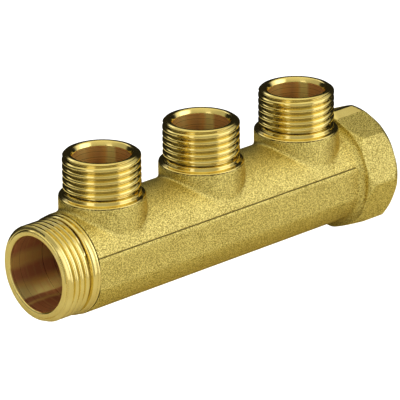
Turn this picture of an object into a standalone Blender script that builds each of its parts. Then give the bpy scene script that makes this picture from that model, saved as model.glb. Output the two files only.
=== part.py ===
"""Brass manifold bar: one male inlet, one female end and three male outlets in a row.

The bar lies along X and its outlets point up, along +Z. The origin is under the middle of the bar,
level with its lowest edge. Lengths are in metres.
"""
import math

import bmesh
import bpy

# Whole bar
BAR_LENGTH = 0.120
OUTLET_COUNT = 3
OUTLET_SPACING = 0.036
OUTLET_RIM_HEIGHT = 0.0281  # main axis to outlet rim
FIT_GAP = 0.0003  # left between pieces that touch

# Pipe threads, 55 degree form, 14 turns to the inch
THREAD_PITCH = 0.0254 / 14
THREAD_HALF_ANGLE = math.radians(27.5)
HALF_INCH_CREST = 0.020955 / 2
HALF_INCH_ROOT = 0.018631 / 2
THREE_QUARTER_CREST = 0.026441 / 2
THREE_QUARTER_ROOT = 0.024117 / 2
EDGES_PER_TURN = 4  # two at the crest, two at the root

# Octagonal female end
FLATS_WIDTH = 0.032
FLAT_COUNT = 8
CORNER_RADIUS = FLATS_WIDTH / 2 / math.cos(math.pi / FLAT_COUNT)
OCTAGON_LENGTH = 0.0115
OCTAGON_CHAMFER_RADIUS = 0.0161
OCTAGON_CHAMFER_SLOPE = 0.65  # rise of radius for each unit of length
NECK_LENGTH = 0.0026
NECK_ROOT_RADIUS = 0.0130  # just under the bar's surface
NECK_STEPS = 3
SOCKET_DEPTH = 0.0128
SOCKET_MOUTH_RADIUS = 0.0136
SOCKET_MOUTH_DEPTH = 0.0008
SOCKET_RELIEF_LENGTH = 0.0014

# Forged bar
AXIS_HEIGHT = CORNER_RADIUS
BAR_RADIUS = 0.0139
BAR_UPPER_RADIUS = 0.01375
SIDE_FLAT_OFFSET = 0.0133
SIDE_FLAT_TOP = 0.0049  # above the main axis
BAR_START = -0.049
BAR_OVERLAP = 0.0014  # how far the bar runs into the octagonal end
BORE_RADIUS = 0.0103
BAR_ARC_STEPS = 15  # odd, so that no edge runs along the top

# Outlet bosses and their ports
BOSS_RADIUS = 0.0117
BOSS_FOOT_RADIUS = 0.0122
BOSS_FOOT_HEIGHT = 0.0096
BOSS_TOP = 0.0161
PORT_RADIUS = 0.0076

# Spigots by which the nipples sit in the bar
INLET_SPIGOT_RADIUS = 0.0119
INLET_SPIGOT_LENGTH = 0.0040
OUTLET_SPIGOT_RADIUS = 0.0095
OUTLET_SPIGOT_LENGTH = 0.0034
SEAL_GROOVE_DEPTH = 0.0010
SEAL_GROOVE_WIDTH = 0.0015
SEAL_GROOVE_START = 0.0009  # shoulder to groove
SEAL_SECTION_STEPS = 6

# Male nipples
INLET_FACE_RADIUS = 0.0118
INLET_COLLAR_RADIUS = 0.0137
INLET_COLLAR_LENGTH = 0.0021
OUTLET_FACE_RADIUS = 0.0096
OUTLET_COLLAR_RADIUS = 0.0104
OUTLET_COLLAR_LENGTH = 0.0015
OUTLET_COLLAR_FLARE = 0.0005
RUN_OUT_LENGTH = 0.0003
THREAD_SETBACK = 0.0003  # face to the first edge of the thread
INLET_LEAD_IN_SLOPE = 1.9  # rise of radius for each unit of length
OUTLET_LEAD_IN_SLOPE = 0.9
INLET_LIP_CHAMFER = 0.0002
OUTLET_LIP_WIDTH = 0.0007
OUTLET_LIP_DEPTH = 0.0011

# Smoothness of the round pieces
MAIN_SEGMENTS = 32
OUTLET_SEGMENTS = 24
SHARP_ANGLE = math.radians(35)
FLAT_ANGLE = math.radians(0.05)  # faces closer than this to level are joined

# Colour, roughness and metallic value of each finish
BLASTED_BRASS = ((0.52, 0.40, 0.15, 1.0), 0.48, 1.0)
TURNED_BRASS = ((0.78, 0.58, 0.22, 1.0), 0.16, 1.0)
BLACK_RUBBER = ((0.02, 0.02, 0.02, 1.0), 0.60, 0.0)


def clear_scene():
    for old in list(bpy.data.objects):
        bpy.data.objects.remove(old, do_unlink=True)


def add_object(name, mesh):
    piece = bpy.data.objects.new(name, mesh)
    bpy.context.scene.collection.objects.link(piece)
    return piece


def add_guide(name):
    guide = add_object(name, None)
    guide.empty_display_size = BAR_RADIUS
    return guide


def add_cutter(name, mesh):
    cutter = add_object(name, mesh)
    cutter.hide_render = True
    cutter.display_type = 'WIRE'
    return cutter


def paint(piece, finish):
    colour, roughness, metallic = finish
    material = bpy.data.materials.new(piece.name + "_finish")
    material.use_nodes = True
    shader = material.node_tree.nodes["Principled BSDF"]
    shader.inputs["Base Color"].default_value = colour
    shader.inputs["Roughness"].default_value = roughness
    shader.inputs["Metallic"].default_value = metallic
    piece.data.materials.append(material)


def finish_mesh(name, bm):
    bm.normal_update()
    bmesh.ops.dissolve_limit(bm, angle_limit=FLAT_ANGLE, verts=bm.verts, edges=bm.edges)
    bmesh.ops.recalc_face_normals(bm, faces=bm.faces)
    mesh = bpy.data.meshes.new(name)
    bm.to_mesh(mesh)
    bm.free()
    mesh.shade_smooth()
    mesh.set_sharp_from_angle(angle=SHARP_ANGLE)
    return mesh


def skin_columns(name, columns, closed, block=(0, 0)):
    """Join columns of (radius, height) points, spread evenly round +Z, into one closed solid.

    A closed column runs down the outside and back up a bore. An open one starts and ends on the axis.
    block is the first and last place of a thread's edges, which come back one turn higher.
    """
    bm = bmesh.new()
    corners = {}

    def corner(column, place):
        radius, height = columns[column][place]
        angle = 2 * math.pi * column / len(columns)
        point = (radius * math.cos(angle), radius * math.sin(angle), height)
        key = tuple(round(value, 8) for value in point)
        if key not in corners:
            corners[key] = bm.verts.new(point)
        return corners[key]

    count = len(columns[0])
    steps = count if closed else count - 1
    first, last = block
    for column in range(len(columns)):
        following = (column + 1) % len(columns)
        for place in range(steps):
            near = (place, (place + 1) % count)
            far = list(near)
            if following == 0:
                far = [max(p - EDGES_PER_TURN, first) if first <= p < last else p for p in near]
            ring = [corner(column, near[0]), corner(column, near[1])]
            ring += [corner(following, far[1]), corner(following, far[0])]
            face = list(dict.fromkeys(ring))
            if len(face) > 2:
                bm.faces.new(face)
    return finish_mesh(name, bm)


def thread_edges(turn, crest, root, top, bottom, lead_in):
    """The edges of a right-hand thread at one angle, from top to bottom, held between its two ends.

    turn is the angle as a part of a full turn, and lead_in(height) is the largest radius allowed there.
    """
    flank = (crest - root) * math.tan(THREAD_HALF_ANGLE)
    land = THREAD_PITCH / 2 - flank
    form = ((2 * land + flank, root), (land + flank, root), (land, crest), (0.0, crest))
    windings = math.ceil((top - bottom) / THREAD_PITCH)
    edges = []
    for winding in range(windings + 1, -3, -1):
        for rise, radius in form:
            height = bottom + (winding + turn) * THREAD_PITCH + rise
            if height >= top:
                edges.append((lead_in(top), top))
            elif height <= bottom:
                edges.append((root, bottom))
            else:
                edges.append((min(radius, lead_in(height)), height))
    return edges


def turned_solid(name, segments, above, below, thread):
    """A turned piece with a thread between the outline points above it and those below it."""
    columns = []
    for index in range(segments):
        edges = thread_edges(index / segments, *thread)
        columns.append(above + edges + below)
    block = (len(above), len(columns[0]) - len(below))
    closed = above[0][0] > 0
    return skin_columns(name, columns, closed, block)


def plain_solid(name, segments, outline):
    closed = outline[0][0] > 0
    return skin_columns(name, [outline] * segments, closed)


def spigot_outline(shoulder, radius, length):
    """A spigot that hangs under a shoulder, with a groove for its seal, from top to bottom."""
    groove_top = shoulder - SEAL_GROOVE_START
    groove_bottom = groove_top - SEAL_GROOVE_WIDTH
    floor = radius - SEAL_GROOVE_DEPTH
    tip = shoulder - length
    return [
        (radius, shoulder),
        (radius, groove_top),
        (floor, groove_top),
        (floor, groove_bottom),
        (radius, groove_bottom),
        (radius, tip),
    ]


def inlet_nipple_mesh():
    """Male inlet on the main axis, drawn with its open end up and its face at height 0."""
    shoulder = -BAR_LENGTH / 2 - BAR_START
    collar_top = shoulder + INLET_COLLAR_LENGTH
    tip = shoulder - INLET_SPIGOT_LENGTH

    def lead_in(height):
        return INLET_FACE_RADIUS - height * INLET_LEAD_IN_SLOPE

    above = [(BORE_RADIUS + INLET_LIP_CHAMFER, 0.0), (INLET_FACE_RADIUS, 0.0)]
    thread_bottom = collar_top + 2 * RUN_OUT_LENGTH
    below = [
        (THREE_QUARTER_ROOT, collar_top + RUN_OUT_LENGTH),
        (INLET_COLLAR_RADIUS, collar_top),
        (INLET_COLLAR_RADIUS, shoulder),
    ]
    below += spigot_outline(shoulder, INLET_SPIGOT_RADIUS, INLET_SPIGOT_LENGTH)
    below += [(BORE_RADIUS, tip), (BORE_RADIUS, -INLET_LIP_CHAMFER)]
    thread = (THREE_QUARTER_CREST, THREE_QUARTER_ROOT, -THREAD_SETBACK, thread_bottom, lead_in)
    return turned_solid("inlet_nipple", MAIN_SEGMENTS, above, below, thread)


def outlet_nipple_mesh():
    """Male outlet, drawn with its open end up and its rim at height 0."""
    shoulder = BOSS_TOP - OUTLET_RIM_HEIGHT
    collar_top = shoulder + OUTLET_COLLAR_LENGTH
    tip = shoulder - OUTLET_SPIGOT_LENGTH

    def lead_in(height):
        return OUTLET_FACE_RADIUS - height * OUTLET_LEAD_IN_SLOPE

    above = [(PORT_RADIUS + OUTLET_LIP_WIDTH, 0.0), (OUTLET_FACE_RADIUS, 0.0)]
    thread_bottom = collar_top + 2 * RUN_OUT_LENGTH
    below = [
        (HALF_INCH_ROOT, collar_top + RUN_OUT_LENGTH),
        (OUTLET_COLLAR_RADIUS, collar_top),
        (OUTLET_COLLAR_RADIUS, shoulder + OUTLET_COLLAR_FLARE),
        (BOSS_RADIUS, shoulder),
    ]
    below += spigot_outline(shoulder, OUTLET_SPIGOT_RADIUS, OUTLET_SPIGOT_LENGTH)
    below += [(PORT_RADIUS, tip), (PORT_RADIUS, -OUTLET_LIP_DEPTH)]
    thread = (HALF_INCH_CREST, HALF_INCH_ROOT, -THREAD_SETBACK, thread_bottom, lead_in)
    return turned_solid("outlet_nipple", OUTLET_SEGMENTS, above, below, thread)


def seal_mesh(name, spigot_radius, segments):
    """O-ring that lies in a spigot's groove, centred on height 0 with a gap all round."""
    inner = spigot_radius - SEAL_GROOVE_DEPTH + FIT_GAP
    outer = spigot_radius
    section = (outer - inner) / 2
    middle = (outer + inner) / 2
    outline = []
    for step in range(SEAL_SECTION_STEPS):
        angle = -2 * math.pi * step / SEAL_SECTION_STEPS
        outline.append((middle + section * math.cos(angle), section * math.sin(angle)))
    return plain_solid(name, segments, outline)


def bar_section():
    """Outline of the bar as (y, z) about the main axis: round, with a flat strip proud on each side."""
    low = math.acos(SIDE_FLAT_OFFSET / BAR_RADIUS)
    high = math.asin(SIDE_FLAT_TOP / BAR_UPPER_RADIUS)
    points = [(SIDE_FLAT_OFFSET, SIDE_FLAT_TOP)]
    for step in range(BAR_ARC_STEPS + 1):
        angle = high + (math.pi - 2 * high) * step / BAR_ARC_STEPS
        points.append((BAR_UPPER_RADIUS * math.cos(angle), BAR_UPPER_RADIUS * math.sin(angle)))
    points.append((-SIDE_FLAT_OFFSET, SIDE_FLAT_TOP))
    for step in range(BAR_ARC_STEPS + 1):
        angle = math.pi + low + (math.pi - 2 * low) * step / BAR_ARC_STEPS
        points.append((BAR_RADIUS * math.cos(angle), BAR_RADIUS * math.sin(angle)))
    return points


def bar_mesh():
    """The plain bar, from the inlet shoulder into the octagonal end."""
    start = BAR_START + FIT_GAP
    end = BAR_LENGTH / 2 - OCTAGON_LENGTH + BAR_OVERLAP
    bm = bmesh.new()
    corners = [bm.verts.new((start, y, z)) for y, z in bar_section()]
    base = bm.faces.new(corners)
    raised = bmesh.ops.extrude_face_region(bm, geom=[base])
    moved = [item for item in raised["geom"] if isinstance(item, bmesh.types.BMVert)]
    bmesh.ops.translate(bm, vec=(end - start, 0, 0), verts=moved)
    return finish_mesh("manifold_body", bm)


def octagon_radius(turn):
    """Distance from the axis to the octagon at one angle, with corners at the full eighths."""
    within = (turn * FLAT_COUNT) % 1.0 - 0.5
    return FLATS_WIDTH / 2 / math.cos(within * 2 * math.pi / FLAT_COUNT)


def female_end_mesh():
    """Octagonal end with a neck under it, drawn with its open face up and at height 0."""
    chamfer = (CORNER_RADIUS - OCTAGON_CHAMFER_RADIUS) / OCTAGON_CHAMFER_SLOPE
    shoulder = -OCTAGON_LENGTH
    columns = []
    for index in range(MAIN_SEGMENTS):
        full = octagon_radius(index / MAIN_SEGMENTS)
        cut = min(full, OCTAGON_CHAMFER_RADIUS)
        start = (full - cut) / OCTAGON_CHAMFER_SLOPE
        column = [(0.0, 0.0), (cut, 0.0), (full, -start), (full, -chamfer)]
        column += [(full, shoulder + chamfer), (full, shoulder + start), (cut, shoulder)]
        for step in range(1, NECK_STEPS + 1):
            part = step / NECK_STEPS
            bend = math.sqrt(1 - (1 - part) ** 2)
            radius = cut + (NECK_ROOT_RADIUS - cut) * bend
            column.append((radius, shoulder - NECK_LENGTH * part))
        column.append((0.0, shoulder - NECK_LENGTH))
        columns.append(column)
    return skin_columns("female_end", columns, False)


def boss_mesh():
    """One outlet boss, drawn from the main axis up, with a slightly wider foot."""
    outline = [
        (0.0, BOSS_TOP - FIT_GAP),
        (BOSS_RADIUS, BOSS_TOP - FIT_GAP),
        (BOSS_RADIUS, BOSS_FOOT_HEIGHT + BOSS_FOOT_RADIUS - BOSS_RADIUS),
        (BOSS_FOOT_RADIUS, BOSS_FOOT_HEIGHT),
        (BOSS_FOOT_RADIUS, 0.0),
        (0.0, 0.0),
    ]
    return plain_solid("outlet_boss", OUTLET_SEGMENTS, outline)


def bore_cutter_mesh():
    """Main bore with the inlet's seat and the female thread, drawn with the female face at height 0."""
    past = FIT_GAP * 2
    socket_floor = -SOCKET_DEPTH
    seat_floor = -(BAR_LENGTH / 2 - BAR_START) + INLET_SPIGOT_LENGTH + FIT_GAP
    thread_bottom = socket_floor + SOCKET_RELIEF_LENGTH
    mouth_slope = (SOCKET_MOUTH_RADIUS - THREE_QUARTER_ROOT) / (2 * SOCKET_MOUTH_DEPTH)

    def lead_in(height):
        return max(THREE_QUARTER_CREST, SOCKET_MOUTH_RADIUS + height * mouth_slope)

    above = [(0.0, past), (SOCKET_MOUTH_RADIUS, past), (SOCKET_MOUTH_RADIUS, 0.0)]
    below = [
        (THREE_QUARTER_ROOT, socket_floor),
        (BORE_RADIUS, socket_floor),
        (BORE_RADIUS, seat_floor),
        (INLET_SPIGOT_RADIUS + FIT_GAP, seat_floor),
        (INLET_SPIGOT_RADIUS + FIT_GAP, -BAR_LENGTH),
        (0.0, -BAR_LENGTH),
    ]
    thread = (THREE_QUARTER_CREST, THREE_QUARTER_ROOT, -SOCKET_MOUTH_DEPTH, thread_bottom, lead_in)
    return turned_solid("bore_cutter", MAIN_SEGMENTS, above, below, thread)


def port_cutter_mesh():
    """One outlet port with the nipple's seat above it, drawn from the main axis up."""
    past = FIT_GAP * 2
    seat_floor = BOSS_TOP - OUTLET_SPIGOT_LENGTH - FIT_GAP
    outline = [
        (0.0, BOSS_TOP + past),
        (OUTLET_SPIGOT_RADIUS + FIT_GAP, BOSS_TOP + past),
        (OUTLET_SPIGOT_RADIUS + FIT_GAP, seat_floor),
        (PORT_RADIUS, seat_floor),
        (PORT_RADIUS, 0.0),
        (0.0, 0.0),
    ]
    return plain_solid("port_cutter", OUTLET_SEGMENTS, outline)


def outlet_places():
    middle = (OUTLET_COUNT - 1) / 2
    return [(index + 1, (index - middle) * OUTLET_SPACING) for index in range(OUTLET_COUNT)]


def combine(piece, tool, operation):
    step = piece.modifiers.new(operation.lower() + "_" + tool.name, 'BOOLEAN')
    step.operation = operation
    step.solver = 'EXACT'
    step.object = tool


def make_body(axis):
    """The forged and drilled body: bar, three bosses and the octagonal female end."""
    body = add_object("manifold_body", bar_mesh())
    body.parent = axis
    end = add_cutter("female_end_tool", female_end_mesh())
    bore = add_cutter("bore_tool", bore_cutter_mesh())
    for tool in (end, bore):
        tool.parent = axis
        tool.location = (BAR_LENGTH / 2, 0, 0)
        tool.rotation_euler = (0, math.radians(90), 0)
    combine(body, end, 'UNION')
    boss_shape = boss_mesh()
    port_shape = port_cutter_mesh()
    ports = []
    for number, place in outlet_places():
        boss = add_cutter("boss_tool_%d" % number, boss_shape)
        port = add_cutter("port_tool_%d" % number, port_shape)
        for tool in (boss, port):
            tool.parent = axis
            tool.location = (place, 0, 0)
        boss.rotation_euler = (0, 0, math.pi / OUTLET_SEGMENTS)
        combine(body, boss, 'UNION')
        ports.append(port)
    combine(body, bore, 'DIFFERENCE')
    for port in ports:
        combine(body, port, 'DIFFERENCE')
    paint(body, BLASTED_BRASS)


def make_inlet(axis):
    """The male inlet nipple and the O-ring on its spigot."""
    nipple = add_object("inlet_nipple", inlet_nipple_mesh())
    seal = add_object("inlet_o_ring", seal_mesh("inlet_o_ring", INLET_SPIGOT_RADIUS, MAIN_SEGMENTS))
    groove_middle = SEAL_GROOVE_START + SEAL_GROOVE_WIDTH / 2
    nipple.location = (-BAR_LENGTH / 2, 0, 0)
    seal.location = (BAR_START + groove_middle, 0, 0)
    for piece, finish in ((nipple, TURNED_BRASS), (seal, BLACK_RUBBER)):
        piece.parent = axis
        piece.rotation_euler = (0, math.radians(-90), 0)
        paint(piece, finish)


def make_outlets(axis):
    """Three male outlet nipples, each with the O-ring on its spigot."""
    groove_middle = SEAL_GROOVE_START + SEAL_GROOVE_WIDTH / 2
    for number, place in outlet_places():
        nipple = add_object("outlet_nipple_%d" % number, outlet_nipple_mesh())
        seal_name = "outlet_o_ring_%d" % number
        seal = add_object(seal_name, seal_mesh(seal_name, OUTLET_SPIGOT_RADIUS, OUTLET_SEGMENTS))
        nipple.location = (place, 0, OUTLET_RIM_HEIGHT)
        seal.location = (place, 0, BOSS_TOP - groove_middle)
        for piece, finish in ((nipple, TURNED_BRASS), (seal, BLACK_RUBBER)):
            piece.parent = axis
            paint(piece, finish)


def main():
    clear_scene()
    axis = add_guide("main_axis")
    axis.location = (0, 0, AXIS_HEIGHT)
    make_body(axis)
    make_inlet(axis)
    make_outlets(axis)


main()
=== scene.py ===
"""Brass manifold bar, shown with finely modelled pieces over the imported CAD.

Lengths are in metres in the row frame: the bar lies along X, its outlets point up along +Z and the
floor is at height 0. Every piece takes its place from the CAD node that it stands for.
"""

import math

import bmesh
import bpy
import numpy as np
from mathutils import Matrix, Quaternion, Vector


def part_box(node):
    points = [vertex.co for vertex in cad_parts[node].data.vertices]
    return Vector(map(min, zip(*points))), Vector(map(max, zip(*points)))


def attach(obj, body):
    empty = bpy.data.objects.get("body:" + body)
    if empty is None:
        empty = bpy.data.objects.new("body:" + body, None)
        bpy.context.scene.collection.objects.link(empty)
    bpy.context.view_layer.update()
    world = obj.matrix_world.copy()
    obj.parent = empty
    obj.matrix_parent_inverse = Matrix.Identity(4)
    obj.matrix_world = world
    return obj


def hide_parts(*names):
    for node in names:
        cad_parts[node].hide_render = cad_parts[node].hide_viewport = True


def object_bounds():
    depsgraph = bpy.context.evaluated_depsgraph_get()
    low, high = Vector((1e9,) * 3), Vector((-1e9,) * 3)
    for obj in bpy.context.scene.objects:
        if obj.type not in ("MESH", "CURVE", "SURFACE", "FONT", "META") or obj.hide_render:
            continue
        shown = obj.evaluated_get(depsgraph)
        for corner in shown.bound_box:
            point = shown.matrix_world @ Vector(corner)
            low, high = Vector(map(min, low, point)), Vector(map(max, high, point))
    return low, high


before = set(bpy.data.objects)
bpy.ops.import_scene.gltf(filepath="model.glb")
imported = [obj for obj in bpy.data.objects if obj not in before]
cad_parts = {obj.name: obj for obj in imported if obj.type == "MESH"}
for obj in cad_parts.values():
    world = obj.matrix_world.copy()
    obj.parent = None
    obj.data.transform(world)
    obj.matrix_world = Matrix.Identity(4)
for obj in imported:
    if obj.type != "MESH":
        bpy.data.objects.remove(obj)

MM = 0.001

# Places read from the CAD nodes
CAD_LOW, CAD_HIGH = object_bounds()
FEMALE_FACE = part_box("manifold_body")[1].x
INLET_LOW, INLET_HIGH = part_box("inlet_nipple")
OUTLET_NAMES = ["outlet_nipple_1", "outlet_nipple_2", "outlet_nipple_3"]
OUTLET_SEALS = ["outlet_o_ring_1", "outlet_o_ring_2", "outlet_o_ring_3"]
OUTLET_BOXES = [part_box(name) for name in OUTLET_NAMES]
OUTLET_PLACES = [(low.x + high.x) / 2 for low, high in OUTLET_BOXES]
AXIS_HEIGHT = (INLET_LOW.z + INLET_HIGH.z) / 2
INLET_FACE = INLET_LOW.x
OUTLET_RIM = OUTLET_BOXES[0][1].z

# Forged bar, about the main axis
BAR_START = -49.0 * MM
BAR_RADIUS = 13.9 * MM
UPPER_RADIUS = 13.84 * MM
FLAT_OFFSET = 13.3 * MM
FLAT_TOP = 4.85 * MM
UPPER_OVERLAP = 0.9 * MM  # how far the upper round runs on behind the flat
CREASE_RADIUS = 0.15 * MM
LEDGE_RADIUS = 0.10 * MM
PARTING_SLOT_WIDTH = 0.24 * MM
PARTING_SLOT_DEPTH = 0.34 * MM
PARTING_SLOT_END = 46.8 * MM

# Bosses under the outlets
BOSS_RADIUS = 11.7 * MM
BOSS_TOP = 16.1 * MM
BOSS_FILLET = 0.7 * MM
BOSS_EDGE = 0.12 * MM

# Octagonal female end
OCTAGON_FLATS = 32.0 * MM
OCTAGON_COUNT = 8
OCTAGON_CORNER = 1.0 * MM
OCTAGON_LENGTH = 11.5 * MM
CHAMFER_RADIUS = 16.1 * MM
CHAMFER_SLOPE = 0.65
CHAMFER_EDGE = 0.25 * MM
NECK_FILLET = 2.0 * MM

# Bores
BORE_RADIUS = 10.35 * MM
PORT_RADIUS = 7.6 * MM
SOCKET_DEPTH = 12.8 * MM
SOCKET_MOUTH = 13.6 * MM
SOCKET_MOUTH_DEPTH = 0.8 * MM
SOCKET_RELIEF = 1.4 * MM
SOCKET_SETBACK = 0.05 * MM  # face to the first edge of the thread
TOOL_OVERRUN = 1.0 * MM  # how far a cutting tool reaches past the face it opens

# Spigots by which the nipples sit in the bar, with their seal grooves
INLET_SPIGOT_RADIUS = 11.9 * MM
INLET_SPIGOT_LENGTH = 4.0 * MM
OUTLET_SPIGOT_RADIUS = 9.5 * MM
OUTLET_SPIGOT_LENGTH = 3.4 * MM
SEAL_GROOVE_DEPTH = 1.0 * MM
SEAL_GROOVE_START = 0.9 * MM
SEAL_GROOVE_END = 2.4 * MM
SEAL_CLEARANCE = 0.05 * MM
SEAL_EDGES = 16
SEAT_CLEARANCE = 0.05 * MM
SHOULDER_GAP = 0.01 * MM

# Pipe threads, 55 degree form, 14 turns to the inch, with worn crests and roots
PITCH = 25.4 * MM / 14
FLANK_ANGLE = math.radians(27.5)
CREST_LAND = 0.68 * MM
ROOT_LAND = 0.20 * MM
CORNER_ROUNDING = 0.10 * MM
CORNER_STEPS = 3
EDGES_PER_TURN = 4 * CORNER_STEPS
SPARE_WINDINGS = 2  # drawn past each end of a thread and cut off there
HALF_INCH = (20.955 / 2 * MM, 18.631 / 2 * MM)  # crest and root
THREE_QUARTER = (26.441 / 2 * MM, 24.117 / 2 * MM)
RUN_OUT_SLOPE = 4.0  # rise of radius for each unit of length
RUN_OUT_CLEARANCE = 0.02 * MM  # groove floor over the root of the full thread

# Outlines in millimetres: radius, and height over the rim, the main axis, the face or the shoulder
OUTLET_LIP = [(8.28, -0.16), (8.70, -0.02), (9.25, 0.0), (9.60, -0.12), (9.85, -0.30)]
OUTLET_LIP_DEPTH = 1.15 * MM
OUTLET_LIP_ROUNDING = 0.14 * MM
OUTLET_LEAD_IN = (9.72 * MM, 0.95)  # radius at the rim, and slope
OUTLET_RUN_OUT = (18.05 * MM, 17.80 * MM)  # top and foot of the groove, over the main axis
OUTLET_COLLAR = [
    (10.30, 17.55),
    (10.40, 17.40),
    (10.40, 16.62),
    (11.42, 16.40),
    (11.62, 16.22),
]
OUTLET_COLLAR_RADIUS = 11.62 * MM
INLET_LIP = [(10.52, -0.12), (10.80, 0.0), (11.80, 0.0), (12.05, -0.40)]
INLET_LIP_DEPTH = 0.38 * MM
INLET_LIP_ROUNDING = 0.12 * MM
INLET_LEAD_IN = (11.80 * MM, 1.9)
INLET_RUN_OUT = (2.66 * MM, 2.48 * MM)  # top and foot of the groove, over the shoulder
INLET_COLLAR = [
    (13.30, 2.36),
    (13.60, 1.95),
    (13.60, 1.05),
    (13.45, 0.95),
    (13.75, 0.80),
    (13.75, 0.2),
    (13.50, 0.0),
]
COLLAR_ROUNDING = 0.18 * MM

# Grid that the forging is drawn on
GRID_STEP_X = 0.60 * MM
GRID_STEP = 0.42 * MM
GRID_FINE = 0.13 * MM
GRID_MARGIN = 0.4 * MM
PROBE_STEP = 0.01 * MM
LEAST_SLOPE = 0.5
SETTLE_ROUNDS = 4

# Turned pieces
SEGMENTS = 128
SHARP_ANGLE = math.radians(38)
ARC_STEPS = 4
ARC_SHARE = 0.45  # the most of a side that the arc at one of its ends takes up
SAME_PLACE_DIGITS = 8  # points that agree to this many decimals of a metre are one


# ---------------------------------------------------------------- field of the forging

def round_union(a, b, radius):
    """Signed distance to both shapes together, with a fillet where they meet."""
    inner = np.maximum(radius, np.minimum(a, b))
    return inner - np.hypot(np.maximum(radius - a, 0), np.maximum(radius - b, 0))


def round_overlap(a, b, radius):
    """Signed distance to what the shapes share, with the edge between them rounded."""
    inner = np.minimum(-radius, np.maximum(a, b))
    return inner + np.hypot(np.maximum(radius + a, 0), np.maximum(radius + b, 0))


def bar_field(x, y, z):
    """Round bar with a flat strip that stands proud on each side, and a parting slot over the strip."""
    reach = np.hypot(y, z)
    strip = round_overlap(np.abs(y) - FLAT_OFFSET, reach - BAR_RADIUS, CREASE_RADIUS)
    strip = round_overlap(strip, z - FLAT_TOP, LEDGE_RADIUS)
    upper = np.maximum(reach - UPPER_RADIUS, FLAT_TOP - UPPER_OVERLAP - z)
    section = round_union(strip, upper, LEDGE_RADIUS)
    inner_corner = math.sqrt(UPPER_RADIUS ** 2 - FLAT_TOP ** 2)
    slot = np.abs(z - FLAT_TOP - PARTING_SLOT_WIDTH / 2) - PARTING_SLOT_WIDTH / 2
    slot = np.maximum(slot, inner_corner - PARTING_SLOT_DEPTH - np.abs(y))
    slot = np.maximum(slot, x - PARTING_SLOT_END)
    section = round_overlap(section, -slot, LEDGE_RADIUS / 2)
    end = FEMALE_FACE - OCTAGON_LENGTH / 2
    return np.maximum(round_overlap(section, BAR_START - x, CREASE_RADIUS), x - end)


def boss_field(x, y, z, place):
    """Upright boss that the outlet nipple sits on."""
    reach = np.hypot(x - place, y)
    return np.maximum(round_overlap(reach - BOSS_RADIUS, z - BOSS_TOP, BOSS_EDGE), -z)


def octagon_field(x, y, z):
    """Eight flats with rounded corners, chamfered by a cone at each end."""
    sector = 2 * math.pi / OCTAGON_COUNT
    reach = np.hypot(y, z)
    angle = np.arctan2(z, y)
    within = np.abs(angle - (np.floor(angle / sector) + 0.5) * sector)
    out = reach * np.cos(within) - (OCTAGON_FLATS / 2 - OCTAGON_CORNER)
    half_side = (OCTAGON_FLATS / 2 - OCTAGON_CORNER) * math.tan(sector / 2)
    along = reach * np.sin(within) - half_side
    flats = np.where(along > 0, np.hypot(out, along), out) - OCTAGON_CORNER
    start = FEMALE_FACE - OCTAGON_LENGTH
    lean = math.hypot(1, CHAMFER_SLOPE)
    shape = flats
    for inward in (FEMALE_FACE - x, x - start):
        cone = (reach - CHAMFER_RADIUS - inward * CHAMFER_SLOPE) / lean
        shape = round_overlap(shape, cone, CHAMFER_EDGE)
        shape = round_overlap(shape, -inward, CHAMFER_EDGE)
    return shape


def forging_field(points):
    """Signed distance to the forging before it is bored, at points about the main axis."""
    x, y, z = points[..., 0], points[..., 1], points[..., 2]
    shape = bar_field(x, y, z)
    shape = round_union(shape, octagon_field(x, y, z), NECK_FILLET)
    for place in OUTLET_PLACES:
        shape = round_union(shape, boss_field(x, y, z, place), BOSS_FILLET)
    return shape


# ---------------------------------------------------------------- drawing a field as a mesh

def grid_line(low, high, step, fine_spans):
    """Places from low to high, a coarse step apart, and closer inside the fine spans."""
    places = [low]
    while places[-1] < high:
        here = places[-1]
        fine = any(start <= here < end for start, end in fine_spans)
        places.append(here + (GRID_FINE if fine else step))
    return np.array(places)


def around(place, before=GRID_MARGIN, after=GRID_MARGIN):
    """Span about an edge of the forging, where the grid is drawn finely."""
    return (place - before, place + after)


def forging_grid():
    """Grid lines along X, Y and Z, close together where the forging has edges."""
    octagon_start = FEMALE_FACE - OCTAGON_LENGTH
    widest = OCTAGON_FLATS / 2 / math.cos(math.pi / OCTAGON_COUNT) + GRID_MARGIN
    low_crease = -math.sqrt(BAR_RADIUS ** 2 - FLAT_OFFSET ** 2)
    fine_x = [around(BAR_START), around(octagon_start), around(FEMALE_FACE)]
    fine_y = [
        around(-FLAT_OFFSET, after=2 * GRID_MARGIN),
        around(FLAT_OFFSET, before=2 * GRID_MARGIN),
    ]
    fine_z = [
        around(low_crease),
        around(FLAT_TOP),
        around(BOSS_TOP, GRID_MARGIN / 2, GRID_MARGIN / 2),
    ]
    x = grid_line(BAR_START - GRID_MARGIN, FEMALE_FACE + GRID_MARGIN, GRID_STEP_X, fine_x)
    y = grid_line(-widest, widest, GRID_STEP, fine_y)
    z = grid_line(-widest, widest, GRID_STEP, fine_z)
    return x, y, z


def crossings(values, axis, lines):
    """Where the field changes sign between neighbours along one axis."""
    count = values.shape[axis]
    near = np.take(values, range(count - 1), axis)
    far = np.take(values, range(1, count), axis)
    index = np.argwhere((near < 0) != (far < 0))
    key = tuple(index.T)
    part = near[key] / (near[key] - far[key])
    point = np.stack([line[index[:, k]] for k, line in enumerate(lines)], axis=1)
    after = lines[axis][index[:, axis] + 1]
    point[:, axis] += (after - point[:, axis]) * part
    return index, point, near[key] < 0


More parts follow.
